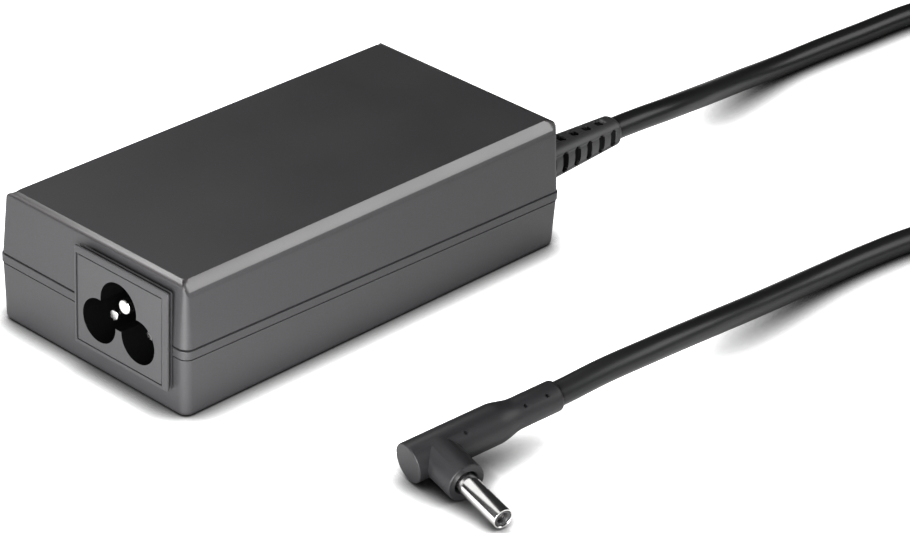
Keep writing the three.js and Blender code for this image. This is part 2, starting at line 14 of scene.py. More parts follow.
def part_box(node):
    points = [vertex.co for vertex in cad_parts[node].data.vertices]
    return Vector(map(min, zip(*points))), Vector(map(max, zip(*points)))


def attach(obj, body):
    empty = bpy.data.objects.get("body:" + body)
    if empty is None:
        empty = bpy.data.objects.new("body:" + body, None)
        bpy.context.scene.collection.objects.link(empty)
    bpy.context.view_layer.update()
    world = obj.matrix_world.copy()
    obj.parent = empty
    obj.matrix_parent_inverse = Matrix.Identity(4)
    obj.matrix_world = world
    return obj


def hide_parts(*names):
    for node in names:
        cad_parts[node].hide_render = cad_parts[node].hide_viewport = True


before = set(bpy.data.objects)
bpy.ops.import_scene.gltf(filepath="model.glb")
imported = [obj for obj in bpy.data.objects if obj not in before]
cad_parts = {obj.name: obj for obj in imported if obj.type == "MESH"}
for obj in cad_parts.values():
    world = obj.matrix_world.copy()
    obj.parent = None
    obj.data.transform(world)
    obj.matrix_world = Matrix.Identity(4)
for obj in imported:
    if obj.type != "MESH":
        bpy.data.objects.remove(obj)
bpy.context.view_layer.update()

MM = 0.001

# ---------------------------------------------------------------- sizes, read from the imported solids


def box_mm(node):
    """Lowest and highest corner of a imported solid, in millimetres."""
    low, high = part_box(node)
    return np.array(low) / MM, np.array(high) / MM


shell_low, shell_high = box_mm("top_shell")
inlet_low, inlet_high = box_mm("inlet_housing")
relief_low, relief_high = box_mm("strain_relief")

HEIGHT = shell_high[2]
CORD_END = shell_high[0]
BRICK_LENGTH = 100.0
INLET_END = CORD_END - BRICK_LENGTH
MID_X = CORD_END - BRICK_LENGTH / 2
BRICK_WIDTH = shell_high[1] - shell_low[1]
FLANGE_FACE = inlet_low[0]

CORD_DIAMETER = 4.8

# ---------------------------------------------------------------- camera

CAMERA_PLACE = (-0.422197, -0.43094, 0.337058)
CAMERA_RIGHT = (0.6901, -0.7226, 0.0396)
CAMERA_UP = (0.3256, 0.3589, 0.8747)
LENS = 140.84  # on a 36 mm sensor


def make_camera():
    """A long lens from above the inlet end's near corner, rolled slightly."""
    data = bpy.data.cameras.new("camera")
    data.lens = LENS
    data.sensor_width = 36.0
    data.clip_start, data.clip_end = 0.01, 20.0
    right = Vector(CAMERA_RIGHT).normalized()
    back = right.cross(Vector(CAMERA_UP)).normalized()
    up = back.cross(right)
    turn = Matrix((right, up, back)).transposed().to_4x4()
    camera = bpy.data.objects.new("camera", data)
    camera.matrix_world = Matrix.Translation(CAMERA_PLACE) @ turn
    bpy.context.scene.collection.objects.link(camera)
    bpy.context.scene.camera = camera


make_camera()

# ---------------------------------------------------------------- the lead's route

LEAD_ROUTE = [
    (76.6, -16.7, 13.3),
    (84.2, -16.9, 13.1),
    (92.9, -16.5, 12.2),
    (103.5, -14.7, 10.3),
    (115.4, -11.8, 7.6),
    (127.2, -9.1, 5.1),
    (138.1, -7.5, 3.3),
    (147.4, -7.0, 2.5),
    (157.3, -7.4, 2.45),
    (170.5, -8.3, 2.45),
    (187.4, -9.5, 2.45),
    (200.8, -12.4, 2.45),
    (211.6, -20.2, 2.5),
    (216.9, -31.6, 2.8),
    (218.7, -43.4, 3.3),
]
RETURN_ROUTE = [
    (168.3, -93.7, 8.2),
    (156.5, -93.0, 6.6),
    (144.0, -91.0, 4.4),
    (131.0, -86.2, 2.9),
    (117.5, -80.3, 2.45),
    (102.4, -75.4, 2.45),
    (88.0, -73.5, 2.45),
    (75.0, -73.1, 2.95),
    (54.2, -74.6, 5.5),
    (34.0, -76.6, 8.7),
    (18.9, -77.0, 10.1),
    (6.4, -75.95, 9.95),
    (-2.9, -74.62, 8.83),
]
COIL_CENTRE = (187.0, -62.0)
COIL_MEAN_RADIUS = 24.5
COIL_TURNS = 7.25
COIL_STEPS_IN = (0.8, 1.8, 2.8)  # turn counts at which the lower layer moves a slot inwards
COIL_CLIMB = 3.68
COIL_STEPS_OUT = (4.55, 5.55, 6.55)
COIL_STEP_LENGTH = 0.4  # of a turn
COIL_LOW = 1.2 + CORD_DIAMETER / 2  # height of the lower layer's centre line
POINTS_PER_TURN = 20


def soft_step(value, edge, softness):
    """0 below the edge and 1 above it, over a short smooth ramp centred on the edge."""
    t = np.clip((value - edge) / softness + 0.5, 0, 1)
    return t * t * (3 - 2 * t)


def coil_points():
    """Clockwise turns from the outermost slot inwards, then up and outwards on the second layer.

    Each slot is a cord's diameter from the next. Radius and height are sums of soft steps over the turn count.
    """
    turn = np.linspace(0.0, COIL_TURNS, int(COIL_TURNS * POINTS_PER_TURN) + 1)
    radius = np.full_like(turn, COIL_MEAN_RADIUS + 1.5 * CORD_DIAMETER)
    for inward, outward in zip(COIL_STEPS_IN, COIL_STEPS_OUT):
        radius -= CORD_DIAMETER * soft_step(turn, inward, COIL_STEP_LENGTH)
        radius += CORD_DIAMETER * soft_step(turn, outward, COIL_STEP_LENGTH)
    height = COIL_LOW + CORD_DIAMETER * soft_step(turn, COIL_CLIMB, COIL_STEP_LENGTH)
    angle = -2 * np.pi * turn
    x = COIL_CENTRE[0] + radius * np.cos(angle)
    y = COIL_CENTRE[1] + radius * np.sin(angle)
    return np.column_stack([x, y, height])


def smooth_line(points, spacing=1.6):
    """A smooth line through the points, resampled evenly.

    Between two points it is a cubic whose end directions are the slopes between their neighbours.
    """
    points = np.asarray(points, float)
    place = np.concatenate([[0], np.cumsum(np.linalg.norm(np.diff(points, axis=0), axis=1))])
    slope = np.gradient(points, place, axis=0)
    t = np.linspace(0, place[-1], int(place[-1] / 0.4))
    i = np.clip(np.searchsorted(place, t, side="right") - 1, 0, len(points) - 2)
    span = (place[i + 1] - place[i])[:, None]
    u = (t - place[i])[:, None] / span
    line = points[i] * (1 + 2 * u) * (1 - u) ** 2 + points[i + 1] * u * u * (3 - 2 * u)
    line += span * (slope[i] * u * (1 - u) ** 2 - slope[i + 1] * u * u * (1 - u))
    run = np.concatenate([[0], np.cumsum(np.linalg.norm(np.diff(line, axis=0), axis=1))])
    even = np.linspace(0, run[-1], int(run[-1] / spacing))
    return np.column_stack([np.interp(even, run, line[:, axis]) for axis in range(3)])


def tube_rings(line, radius, sides=24):
    """Circles across a line that never stands upright: each is spanned by a level and a lifted direction."""
    along = np.gradient(line, axis=0)
    along /= np.linalg.norm(along, axis=1, keepdims=True)
    level = np.cross(along, (0, 0, 1))
    level /= np.linalg.norm(level, axis=1, keepdims=True)
    lift = np.cross(level, along)
    angle = np.linspace(0, -2 * np.pi, sides, endpoint=False)[None, :, None]
    return line[:, None] + radius * (np.cos(angle) * level[:, None] + np.sin(angle) * lift[:, None])


CORD_START = (70.0, -16.7, 13.3)  # inside the strain sleeve
CORD_STOP = (-8.0, -73.52, 8.1)  # inside the plug's sleeve
cord_line = smooth_line(np.vstack([[CORD_START], LEAD_ROUTE, coil_points(), RETURN_ROUTE, [CORD_STOP]]))

# ---------------------------------------------------------------- mesh tools


def loft(rings):
    """A skin through closed rings of equal count: quads between neighbours and a flat face at each end.

    Rings run anticlockwise seen from the side that the skin advances to, so faces point outwards.
    """
    rings = np.asarray(rings, float)
    count, around = rings.shape[:2]
    index = np.arange(count * around).reshape(count, around)
    turned = np.roll(index, -1, axis=1)
    quads = np.stack([index[:-1], turned[:-1], turned[1:], index[1:]], axis=-1).reshape(-1, 4)
    return rings.reshape(-1, 3), quads.tolist() + [index[0][::-1].tolist(), index[-1].tolist()]


def rounded_outline(half_u, half_v, radius, per_corner=8):
    """Rounded rectangle, anticlockwise: quarter circles about four corner centres. Sizes may be per ring."""
    half_u, half_v, radius = (np.atleast_1d(np.asarray(x, float))[:, None] for x in (half_u, half_v, radius))
    corner = np.repeat(np.arange(4), per_corner + 1)
    angle = (corner + np.tile(np.linspace(0, 1, per_corner + 1), 4)) * np.pi / 2
    sign_u = np.where((corner == 0) | (corner == 3), 1.0, -1.0)
    sign_v = np.where(corner < 2, 1.0, -1.0)
    u = sign_u * (half_u - radius) + radius * np.cos(angle)
    v = sign_v * (half_v - radius) + radius * np.sin(angle)
    return np.stack([u, v], axis=-1)


def turned_rings(profile, sides=64):
    """Rings of a turned shape about +X: each profile pair is a place along the axis and a radius."""
    profile = np.asarray(profile, float)
    angle = np.linspace(0, 2 * np.pi, sides, endpoint=False)
    rings = np.zeros((len(profile), sides, 3))
    rings[..., 0] = profile[:, :1]
    rings[..., 1] = profile[:, 1:] * np.cos(angle)
    rings[..., 2] = profile[:, 1:] * np.sin(angle)
    return rings


def quarter_round(start, end, steps=5):
    """Points of a quarter ellipse that leaves start straight outwards and reaches end straight along."""
    angle = np.linspace(0, np.pi / 2, steps)
    (x0, r0), (x1, r1) = start, end
    return [(x0 + (x1 - x0) * (1 - np.cos(a)), r0 + (r1 - r0) * np.sin(a)) for a in angle]


def mesh_object(name, points, faces, materials=(), sharp=32.0):
    """A smooth-shaded mesh in millimetre points, sharp where faces meet at more than the angle."""
    mesh = bpy.data.meshes.new(name)
    mesh.from_pydata((np.asarray(points, float) * MM).tolist(), [], faces)
    mesh.validate()
    for material in materials:
        mesh.materials.append(material)
    piece = bpy.data.objects.new(name, mesh)
    bpy.context.scene.collection.objects.link(piece)
    finish_shading(piece, sharp)
    return piece


def finish_shading(piece, sharp):
    """Smooth shading that breaks where faces meet at more than the angle, in degrees."""
    piece.data.polygons.foreach_set("use_smooth", [True] * len(piece.data.polygons))
    piece.data.set_sharp_from_angle(angle=math.radians(sharp))
    piece.data.update()


def combine(piece, other, operation, sharp=32.0):
    """Adds or cuts away another solid, which is then dropped. The faces that it leaves keep its material."""
    change = piece.modifiers.new("combine", "BOOLEAN")
    change.object = other
    change.operation = operation
    change.solver = "EXACT"
    change.material_mode = "TRANSFER"
    bpy.context.view_layer.update()
    evaluated = piece.evaluated_get(bpy.context.evaluated_depsgraph_get())
    mesh = bpy.data.meshes.new_from_object(evaluated)
    piece.modifiers.clear()
    piece.data = mesh
    bpy.data.objects.remove(other)
    finish_shading(piece, sharp)
    return piece


def settle(piece, slot, *nodes):
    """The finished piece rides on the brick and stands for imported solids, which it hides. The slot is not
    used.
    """
    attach(piece, "root")
    if nodes:
        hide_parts(*nodes)
    return piece


# ---------------------------------------------------------------- shader groups


def group_tree(name, inputs, outputs):
    """An empty shader group with named sockets, and its input and output nodes."""
    tree = bpy.data.node_groups.new(name, "ShaderNodeTree")
    for label, kind, value in inputs:
        socket = tree.interface.new_socket(name=label, in_out="INPUT", socket_type=kind)
        socket.default_value = value
    for label, kind in outputs:
        tree.interface.new_socket(name=label, in_out="OUTPUT", socket_type=kind)
    return tree, tree.nodes.new("NodeGroupInput"), tree.nodes.new("NodeGroupOutput")


FLOAT, COLOUR = "NodeSocketFloat", "NodeSocketColor"


def noise(tree, vector, scale, detail):
    node = tree.nodes.new("ShaderNodeTexNoise")
    node.inputs["Detail"].default_value = detail
    node.inputs["Roughness"].default_value = 0.5
    connect(tree, vector, node.inputs["Vector"])
    connect(tree, scale, node.inputs["Scale"])
    return node.outputs["Fac"]


def mixed_colour(tree, factor, first, second):
    node = tree.nodes.new("ShaderNodeMix")
    node.data_type = "RGBA"
    for value, socket in ((factor, node.inputs[0]), (first, node.inputs[6]), (second, node.inputs[7])):
        connect(tree, value, socket)
    return node.outputs[2]


def spread_value(tree, value, low, high, from_low=0.3, from_high=0.7):
    """Stretches a value from one range to another, clamped."""
    node = tree.nodes.new("ShaderNodeMapRange")
    for source, socket in zip((value, from_low, from_high, low, high), node.inputs):
        connect(tree, source, socket)
    return node.outputs[0]


def maths(tree, operation, first, second):
    node = tree.nodes.new("ShaderNodeMath")
    node.operation = operation
    connect(tree, first, node.inputs[0])
    connect(tree, second, node.inputs[1])
    return node.outputs[0]


def connect(tree, value, socket):
    """Links another node's output to a socket, or sets the socket to a plain value."""
    if hasattr(value, "is_output"):
        tree.links.new(value, socket)
    else:
        socket.default_value = value


def make_grain_group():
    """Moulded grain: fine pits and a slow drift of tone, from object coordinates."""
    tree, given, out = group_tree(
        "moulded_grain",
        [
            ("Dark", COLOUR, (0, 0, 0, 1)),
            ("Light", COLOUR, (1, 1, 1, 1)),
            ("Pits per metre", FLOAT, 5000.0),
            ("Smoothest", FLOAT, 0.4),
            ("Roughest", FLOAT, 0.6),
        ],
        [("Colour", COLOUR), ("Roughness", FLOAT), ("Height", FLOAT)],
    )
    place = tree.nodes.new("ShaderNodeTexCoord").outputs["Object"]
    pits = noise(tree, place, given.outputs["Pits per metre"], 1.0)
    drift = noise(tree, place, 45.0, 3.0)
    blend = maths(tree, "ADD", maths(tree, "MULTIPLY", pits, 0.75), maths(tree, "MULTIPLY", drift, 0.25))
    tone = spread_value(tree, blend, 0.0, 1.0)
    colour = mixed_colour(tree, tone, given.outputs["Dark"], given.outputs["Light"])
    tree.links.new(colour, out.inputs["Colour"])
    rough = spread_value(tree, drift, given.outputs["Smoothest"], given.outputs["Roughest"])
    tree.links.new(rough, out.inputs["Roughness"])
    tree.links.new(pits, out.inputs["Height"])
    return tree


def make_drawn_group():
    """Drawn or rolled metal: fine lines stretched along one axis, with a faint cloudy tarnish."""
    tree, given, out = group_tree(
        "drawn_metal",
        [
            ("Bright", COLOUR, (1, 1, 1, 1)),
            ("Dull", COLOUR, (0.7, 0.7, 0.7, 1)),
            ("Lines per metre", FLOAT, 9000.0),
            ("Smoothest", FLOAT, 0.1),
            ("Roughest", FLOAT, 0.25),
        ],
        [("Colour", COLOUR), ("Roughness", FLOAT), ("Height", FLOAT)],
    )
    place = tree.nodes.new("ShaderNodeTexCoord").outputs["Object"]
    stretch = tree.nodes.new("ShaderNodeMapping")
    stretch.inputs["Scale"].default_value = (1.0, 0.03, 1.0)
    tree.links.new(place, stretch.inputs["Vector"])
    lines = noise(tree, stretch.outputs[0], given.outputs["Lines per metre"], 2.0)
    cloud = noise(tree, place, 220.0, 3.0)
    tone = spread_value(tree, cloud, 0.0, 1.0)
    colour = mixed_colour(tree, tone, given.outputs["Bright"], given.outputs["Dull"])
    tree.links.new(colour, out.inputs["Colour"])
    rough = spread_value(tree, lines, given.outputs["Smoothest"], given.outputs["Roughest"])
    tree.links.new(rough, out.inputs["Roughness"])
    tree.links.new(lines, out.inputs["Height"])
    return tree


def make_strand_group():
    """Wound strands or woven loops: ridges across one axis, softened by noise. The valleys take the second,
    darker colour: painted shade between the strands.
    """
    tree, given, out = group_tree(
        "wound_strands",
        [
            ("Ridge", COLOUR, (1, 1, 1, 1)),
            ("Valley shade", COLOUR, (0, 0, 0, 1)),
            ("Strands per metre", FLOAT, 900.0),
            ("Smoothest", FLOAT, 0.3),
            ("Roughest", FLOAT, 0.6),
        ],
        [("Colour", COLOUR), ("Roughness", FLOAT), ("Height", FLOAT)],
    )
    place = tree.nodes.new("ShaderNodeTexCoord").outputs["Object"]
    wave = tree.nodes.new("ShaderNodeTexWave")
    wave.bands_direction = "DIAGONAL"
    wave.inputs["Distortion"].default_value = 0.6
    tree.links.new(place, wave.inputs["Vector"])
    tree.links.new(maths(tree, "MULTIPLY", given.outputs["Strands per metre"], 0.32), wave.inputs["Scale"])
    ridge = wave.outputs["Fac"]
    # painted shade: the valleys between strands take the darker colour
    colour = mixed_colour(tree, ridge, given.outputs["Valley shade"], given.outputs["Ridge"])
    tree.links.new(colour, out.inputs["Colour"])
    rough = spread_value(tree, ridge, given.outputs["Roughest"], given.outputs["Smoothest"], 0.0, 1.0)
    tree.links.new(rough, out.inputs["Roughness"])
    tree.links.new(ridge, out.inputs["Height"])
    return tree


GRAIN, DRAWN, STRANDS = make_grain_group(), make_drawn_group(), make_strand_group()


def finish_of(
    name, pattern, first, second, per_metre, rough, bump, metallic=0.0, specular=0.5, coat=0.0, sheen=0.0
):
    """A material from a shader group: two tones, roughness limits, and the bump's depth in millimetres."""
    material = bpy.data.materials.new(name)
    material.use_nodes = True
    tree = material.node_tree
    shader = tree.nodes["Principled BSDF"]
    source = tree.nodes.new("ShaderNodeGroup")
    source.node_tree = pattern
    sockets = source.inputs
    sockets[0].default_value = (*first, 1.0)
    sockets[1].default_value = (*second, 1.0)
    sockets[2].default_value = per_metre
    sockets[3].default_value, sockets[4].default_value = rough
    tree.links.new(source.outputs["Colour"], shader.inputs["Base Color"])
    tree.links.new(source.outputs["Roughness"], shader.inputs["Roughness"])
    relief = tree.nodes.new("ShaderNodeBump")
    relief.inputs["Distance"].default_value = bump * MM
    tree.links.new(source.outputs["Height"], relief.inputs["Height"])
    tree.links.new(relief.outputs["Normal"], shader.inputs["Normal"])
    shader.inputs["Metallic"].default_value = metallic
    shader.inputs["Specular IOR Level"].default_value = specular
    shader.inputs["Coat Weight"].default_value = coat
    shader.inputs["Coat Roughness"].default_value = 0.12
    shader.inputs["Sheen Weight"].default_value = sheen
    material.diffuse_color = (*second, 1.0)
    return material


def plastic(name, tone, spread=0.12, per_metre=4200.0, rough=(0.42, 0.52), bump=0.01, **more):
    """Moulded plastic: both tones are the given one, made darker and lighter by a share."""
    dark = tuple(c * (1 - spread) for c in tone)
    light = tuple(c * (1 + spread) for c in tone)
    return finish_of(name, GRAIN, dark, light, per_metre, rough, bump, **more)


def metal(name, tone, rough=(0.12, 0.2), bump=0.002, per_metre=9000.0):
    dull = tuple(c * 0.86 for c in tone)
    return finish_of(name, DRAWN, tone, dull, per_metre, rough, bump, metallic=1.0)


CASE_TONE = (0.0285, 0.0278, 0.0297)
EDGE_TONE = (0.031, 0.028, 0.0285)
case_plastic = plastic(
    "charcoal_case", CASE_TONE, per_metre=3600.0, rough=(0.46, 0.54), bump=0.012, specular=0.6
)
edge_plastic = plastic(
    "burnished_edge", EDGE_TONE, per_metre=3600.0, rough=(0.27, 0.33), bump=0.006, specular=1.0
)
inlet_plastic = plastic(
    "charcoal_inlet", CASE_TONE, per_metre=3600.0, rough=(0.38, 0.44), bump=0.014, specular=0.65
)
# black plastic for the inlet's well, made near-black and barely reflective: painted shade inside the recess
well_black_with_painted_shade = plastic(
    "black_inlet_well_painted_shade", (0.0015, 0.0015, 0.0016), rough=(0.7, 0.8), bump=0.005, specular=0.03
)
relief_vinyl = plastic("strain_sleeve_vinyl", (0.035, 0.035, 0.0362), rough=(0.4, 0.5), bump=0.01)
# near-black, barely reflective vinyl for the slots' deeper faces: painted shade
slot_painted_shade = plastic(
    "strain_sleeve_slot_painted_shade", (0.004, 0.004, 0.0042), rough=(0.7, 0.8), bump=0.01, specular=0.1
)
cord_vinyl = plastic(
    "lead_vinyl", (0.012, 0.0125, 0.0122), spread=0.06,
    per_metre=1500.0, rough=(0.3, 0.36), bump=0.002, specular=0.25,
)
plug_vinyl = plastic(
    "plug_vinyl", (0.0125, 0.0122, 0.0134), rough=(0.42, 0.5), bump=0.008, specular=0.35
)
pin_nickel = metal("pin_nickel", (0.86, 0.855, 0.84), rough=(0.14, 0.2))
barrel_nickel = metal("barrel_nickel", (0.9, 0.895, 0.88), rough=(0.14, 0.19), bump=0.0006)
contact_steel = metal("contact_steel", (0.42, 0.41, 0.4), rough=(0.25, 0.35))
bore_plastic = plastic("barrel_insulator_black", (0.03, 0.03, 0.031), rough=(0.3, 0.4), bump=0.002)
# the second, darker colour is painted shade in the valleys between loops
strap_fabric = finish_of(
    "hook_and_loop_strap", STRANDS, (0.03, 0.03, 0.032), (0.012, 0.012, 0.013),
    per_metre=1400.0, rough=(0.8, 0.95), bump=0.12, sheen=0.4,
)
label_film = plastic(
    "blank_label_film", (0.05, 0.05, 0.054), spread=0.05, rough=(0.3, 0.36), bump=0.001
)

# ---------------------------------------------------------------- lead

cord = mesh_object("cord", *loft(tube_rings(cord_line, CORD_DIAMETER / 2)), [cord_vinyl], sharp=60.0)
settle(cord, "cord", "cord_lead", "cord_return", "cord_coil")

# ---------------------------------------------------------------- case

JOINT_HEIGHT = 13.1  # of the joint between the shells, halfway along
JOINT_SLOPE = -0.022
JOINT_GAP = 0.26
CORNER = 1.9  # radius of the upright corners at the joint
TOP_CORNER = 1.1  # and just under the top edge
# Top edges: nearly flat bevels that turn down into the wall over their last third. Shares of the length from
# the top face down, and the slope there in degrees.
SIDE_EDGE = {"width": 1.95, "height": 2.93, "shares": (0, 0.66, 0.72, 0.9, 1), "slopes": (46, 54, 63, 67, 86)}
END_EDGE = {"width": 1.45, "height": 0.82, "shares": (0, 0.7, 0.78, 1), "slopes": (14, 22, 50, 82)}
UPPER_LEAN, LOWER_LEAN = 0.8, 0.3
WALL = 2.0
FOOT_ROUND = 1.1
BAND_HEIGHT, BAND_PROUD = 1.8, 0.15  # raised band just under the joint
GROOVE_HEIGHT, GROOVE_DEPTH = 0.3, 0.4  # under the band
EDGE_DEPTH = 3.2  # everything burnished is within this of the top face


def edge_bevel(edge, along):
    """Inset and drop below the top face of a bevelled edge, along runs from the top face down.

    Both are running sums of the slope's cosine and sine, scaled to the edge's width and height.
    """
    share = np.linspace(0, 1, 201)
    slope = np.radians(np.interp(share, edge["shares"], edge["slopes"]))
    run, fall = (np.concatenate([[0], np.cumsum(f(slope[1:]))]) for f in (np.cos, np.sin))
    inset = edge["width"] * (1 - np.interp(along, share, run / run[-1]))
    return inset, edge["height"] * np.interp(along, share, fall / fall[-1])


def case_ring(side, end, radius, height):
    """One outline of the case at insets from the joint's outline. Height may be per point."""
    ring = rounded_outline(BRICK_LENGTH / 2 - end, BRICK_WIDTH / 2 - side, radius, per_corner=10)[0]
    x = ring[:, 0] + MID_X
    return np.column_stack([x, ring[:, 1], np.broadcast_to(height, x.shape)])


def joint_height(x):
    return JOINT_HEIGHT + JOINT_SLOPE * (x - MID_X)


def over_joint(side, end, radius, offset):
    """An outline that follows the tilted joint at an offset."""
    ring = case_ring(side, end, radius, 0.0)
    ring[:, 2] = joint_height(ring[:, 0]) + offset
    return ring


def ring_between(low, high, share):
    return low + (high - low) * share


def edged_ring(along):
    """An outline in the top edge's rounding: each point takes the side's or the end's arc by how it faces."""
    side, side_drop = edge_bevel(SIDE_EDGE, along)
    end, end_drop = edge_bevel(END_EDGE, along)
    radius = TOP_CORNER - 0.3 * (1 - along)
    ring = case_ring(UPPER_LEAN + side, UPPER_LEAN + end, radius, HEIGHT)
    flat = rounded_outline(1.0, 1.0, 1.0, per_corner=10)[0]
    toward_end = flat[:, 0] ** 2
    ring[:, 2] = HEIGHT - (side_drop * (1 - toward_end) + end_drop * toward_end)
    return ring


def make_upper_case():
    """Thin-walled shell, open at the joint, with burnished bevels round its top face.

    Rings run from the middle of the inner ceiling, down the inner wall, across the joint's edge, up the
    outer wall, round the top edge and in to the middle of the top face. Faces near the top that lean by less
    than 60 degrees, and aren't flat, take the second material.
    """
    gap = JOINT_GAP / 2
    ceiling = HEIGHT - WALL
    inner_top = case_ring(UPPER_LEAN + WALL, UPPER_LEAN + WALL, 1.0, ceiling)
    joint_outer = over_joint(0.0, 0.0, CORNER, gap)
    inside = [
        case_ring(20.0, 40.0, 1.0, ceiling),
        inner_top,
        over_joint(WALL, WALL, 1.0, 1.6),
        over_joint(0.85, 0.85, 1.2, 1.6),
        over_joint(0.85, 0.85, 1.2, gap),
        over_joint(0.1, 0.1, CORNER, gap),
    ]
    lower_rounding = [over_joint(0.03, 0.03, CORNER, gap + 0.03), over_joint(0.0, 0.0, CORNER, gap + 0.1)]
    below_edge = edged_ring(1.0)
    wall = [ring_between(joint_outer, below_edge, s) for s in (0.05, 0.35, 0.7, 0.96)]
    shares = (1.0, 0.96, 0.92, 0.88, 0.84, 0.8, 0.76, 0.72, 0.68, 0.5, 0.3, 0.1, 0.03, 0.0)
    rounding = [edged_ring(share) for share in shares]
    top = [
        case_ring(UPPER_LEAN + SIDE_EDGE["width"] + d, UPPER_LEAN + END_EDGE["width"] + d, 0.8, HEIGHT)
        for d in (0.06, 0.5, 8.0)
    ]
    points, faces = loft(inside + lower_rounding + wall + rounding + top)
    case = mesh_object("upper_case", points, faces, [case_plastic, edge_plastic], sharp=14.0)
    normals, middles = (np.empty(3 * len(faces)) for _ in range(2))
    case.data.polygons.foreach_get("normal", normals)
    case.data.polygons.foreach_get("center", middles)
    upward = normals[2::3]
    bevel = (upward > 0.5) & (upward < 0.998) & (middles[2::3] > (HEIGHT - EDGE_DEPTH) * MM)
    case.data.polygons.foreach_set("material_index", bevel.astype(np.int32))
    return case


def make_lower_case():
    """Thin-walled tray: a tongue into the upper shell, a proud band and groove under the joint, a label recess.

    Rings run from the middle of the underside out over the recess, up the outer wall, into the groove, over
    the band and the tongue and down the inner wall to the middle of the inner floor.
    """
    gap = -JOINT_GAP / 2
    recess = rounded_outline(31.3, 17.3, 1.5, per_corner=10)[0]

    def recess_ring(grow, height):
        return np.column_stack([(recess * (1 + grow / 17.3)) + (MID_X, 0.0), np.full(len(recess), height)])

    turn = np.linspace(0, np.pi / 2, 9)
    foot = np.column_stack([FOOT_ROUND * (1 - np.sin(turn)), FOOT_ROUND * (1 - np.cos(turn))])
    lean = LOWER_LEAN
    underside = [recess_ring(-9.0, 0.6), recess_ring(-0.1, 0.6), recess_ring(0.0, 0.5), recess_ring(0.0, 0.08)]
    underside += [recess_ring(0.08, 0.0), recess_ring(0.5, 0.0), case_ring(lean + 2.0, lean + 2.0, 1.6, 0.0)]
    rounding = [case_ring(lean + i, lean + i, CORNER - 0.5 * i, h) for i, h in foot]
    band_low = over_joint(0.0, 0.0, CORNER, -BAND_HEIGHT - GROOVE_HEIGHT)
    wall = [ring_between(rounding[-1], band_low, s) for s in (0.05, 0.5, 1.0)]
    proud = -BAND_PROUD
    band = [
        over_joint(GROOVE_DEPTH, GROOVE_DEPTH, CORNER - 0.3, -BAND_HEIGHT - GROOVE_HEIGHT + 0.02),
        over_joint(GROOVE_DEPTH, GROOVE_DEPTH, CORNER - 0.3, -BAND_HEIGHT - 0.02),
        over_joint(proud + 0.05, proud + 0.05, CORNER, -BAND_HEIGHT),
        over_joint(proud, proud, CORNER, -BAND_HEIGHT + 0.06),
        over_joint(proud, proud, CORNER, gap - 0.1),
        over_joint(proud + 0.03, proud + 0.03, CORNER, gap - 0.03),
        over_joint(proud + 0.1, proud + 0.1, CORNER, gap),
    ]
    inside = [
        over_joint(1.15, 1.15, 1.0, gap),
        over_joint(1.15, 1.15, 1.0, 1.3),
        over_joint(WALL, WALL, 1.0, 1.3),
        case_ring(lean + WALL, lean + WALL, 1.0, WALL),
        case_ring(20.0, 40.0, 1.0, WALL),
    ]
    points, faces = loft(underside + rounding + wall + band + inside)
    return mesh_object("lower_case", points, faces, [case_plastic], sharp=22.0)


def box_cutter(low, high):
    """A plain block used only to cut an opening."""
    low, high = np.asarray(low, float), np.asarray(high, float)
    half = (high - low) / 2
    ring = rounded_outline(half[0], half[1], 0.05, per_corner=1)[0] + (low[:2] + half[:2])
    rings = [np.column_stack([ring, np.full(len(ring), z)]) for z in (low[2], high[2])]
    return mesh_object("opening", *loft(rings))


FRAME_LOW, FRAME_HIGH = inlet_low[1:], inlet_high[1:]  # flange outline, Y and Z
RELIEF_Y, RELIEF_Z = (relief_low[1] + relief_high[1]) / 2, (relief_low[2] + relief_high[2]) / 2
RELIEF_BASE, RELIEF_TIP = 4.15, 3.0
RELIEF_LENGTH = relief_high[0] - CORD_END


def case_openings():
    """Cutters for the inlet's opening in one end and the strain sleeve's in the other."""
    inlet_edge = 1.3
    inlet = box_cutter(
        (INLET_END - 3, *(FRAME_LOW + inlet_edge)), (INLET_END + 3.4, *(FRAME_HIGH - inlet_edge))
    )
    half = RELIEF_BASE - 0.05
    sleeve = box_cutter(
        (CORD_END - 3.2, RELIEF_Y - half, RELIEF_Z - half), (CORD_END + 3, RELIEF_Y + half, RELIEF_Z + half)
    )
    return inlet, sleeve


upper_case, lower_case = make_upper_case(), make_lower_case()
for case, angle in ((upper_case, 14.0), (lower_case, 22.0)):
    for cutter in case_openings():
        combine(case, cutter, "DIFFERENCE", sharp=angle)
settle(upper_case, "shell", "top_shell")
settle(lower_case, "shell", "bottom_shell")


def make_label():
    """A thin blank plate with rounded corners, stuck in the recess underneath."""
    outline = rounded_outline(31.0, 17.0, 1.3, per_corner=6)[0] + (MID_X, 0.0)
    rings = [np.column_stack([outline, np.full(len(outline), z)]) for z in (0.36, 0.58)]
    return mesh_object("blank_label", *loft(rings), [label_film])


settle(make_label(), "label", "rating_label")

# ---------------------------------------------------------------- mains inlet

earth_middle, line_middle = (sum(box_mm(node)) / 2 for node in ("pin_earth", "pin_line"))
LOBE_Y, LOBE_Z = earth_middle[1], line_middle[2]
LOBE_HALF, LOBE_RADIUS = 5.25, 4.45
EARTH_RISE, EARTH_LOBE = 5.0, 4.85
WELL_DEPTH = 12.5


def frame_ring(x, low_inset, high_inset, radius):
    """Rounded rectangle across X: insets from the flange's low and high corner in Y and Z."""
    low = FRAME_LOW + np.asarray(low_inset, float)
    high = FRAME_HIGH - np.asarray(high_inset, float)
    half, middle = (high - low) / 2, (high + low) / 2
    ring = rounded_outline(half[0], half[1], radius, per_corner=5)[0] + middle
    return np.column_stack([np.full(len(ring), x), ring])


def circle_arc(centre, radius, start, end, steps):
    angle = np.linspace(start, end, steps)
    return np.column_stack([centre[0] + radius * np.cos(angle), centre[1] + radius * np.sin(angle)])


